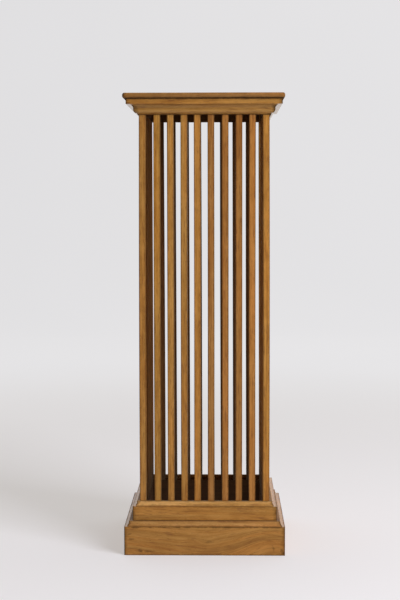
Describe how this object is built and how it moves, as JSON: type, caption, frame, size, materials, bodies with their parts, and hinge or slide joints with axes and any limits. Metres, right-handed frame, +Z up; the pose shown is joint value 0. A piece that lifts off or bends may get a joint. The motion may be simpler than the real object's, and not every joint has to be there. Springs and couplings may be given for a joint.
{
  "type": "display plinth",
  "caption": "Tall square wooden display plinth with open slatted sides, a stepped moulded base, a moulded crown and a flat top board.",
  "frame": {"origin": "on the floor under the middle of the plinth", "axes": "+Z up along the column, -Y towards the front, +X to the viewer's right"},
  "size_m": [0.35, 0.35, 1],
  "materials": {
    "top_wood": "satin varnish, grain along X",
    "crown_wood": "satin varnish, grain along each side",
    "slat_wood": "satin varnish, upright grain",
    "rail_wood": "bare and darkened with age, grain along each side",
    "moulding_wood": "satin varnish, grain along each side",
    "base_wood": "satin varnish, worn arrises, grain along each side",
    "screw_steel": "dull, slightly darkened"
  },
  "bodies": {
    "root": {"top_board": "top_wood", "crown_moulding_front": "crown_wood", "crown_moulding_right": "crown_wood", "crown_moulding_back": "crown_wood", "crown_moulding_left": "crown_wood", "upper_rail_front": "rail_wood", "upper_rail_right": "rail_wood", "upper_rail_back": "rail_wood", "upper_rail_left": "rail_wood", "lower_rail_front": "rail_wood", "lower_rail_right": "rail_wood", "lower_rail_back": "rail_wood", "lower_rail_left": "rail_wood", "surbase_board_front": "base_wood", "surbase_board_right": "base_wood", "surbase_board_back": "base_wood", "surbase_board_left": "base_wood", "plinth_board_front": "base_wood", "plinth_board_right": "base_wood", "plinth_board_back": "base_wood", "plinth_board_left": "base_wood", "slat_front_1": "slat_wood", "slat_front_2": "slat_wood", "slat_front_3": "slat_wood", "slat_front_4": "slat_wood", "slat_front_5": "slat_wood", "slat_front_6": "slat_wood", "slat_front_7": "slat_wood", "slat_front_8": "slat_wood", "slat_right_1": "slat_wood", "slat_right_2": "slat_wood", "slat_right_3": "slat_wood", "slat_right_4": "slat_wood", "slat_right_5": "slat_wood", "slat_right_6": "slat_wood", "slat_right_7": "slat_wood", "slat_right_8": "slat_wood", "slat_back_1": "slat_wood", "slat_back_2": "slat_wood", "slat_back_3": "slat_wood", "slat_back_4": "slat_wood", "slat_back_5": "slat_wood", "slat_back_6": "slat_wood", "slat_back_7": "slat_wood", "slat_back_8": "slat_wood", "slat_left_1": "slat_wood", "slat_left_2": "slat_wood", "slat_left_3": "slat_wood", "slat_left_4": "slat_wood", "slat_left_5": "slat_wood", "slat_left_6": "slat_wood", "slat_left_7": "slat_wood", "slat_left_8": "slat_wood", "corner_post_front_left": "slat_wood", "corner_post_front_right": "slat_wood", "corner_post_back_right": "slat_wood", "corner_post_back_left": "slat_wood", "cap_mouldings": "moulding_wood", "foot_mouldings": "moulding_wood", "wood_screws": "screw_steel"}
  },
  "joints": []
}
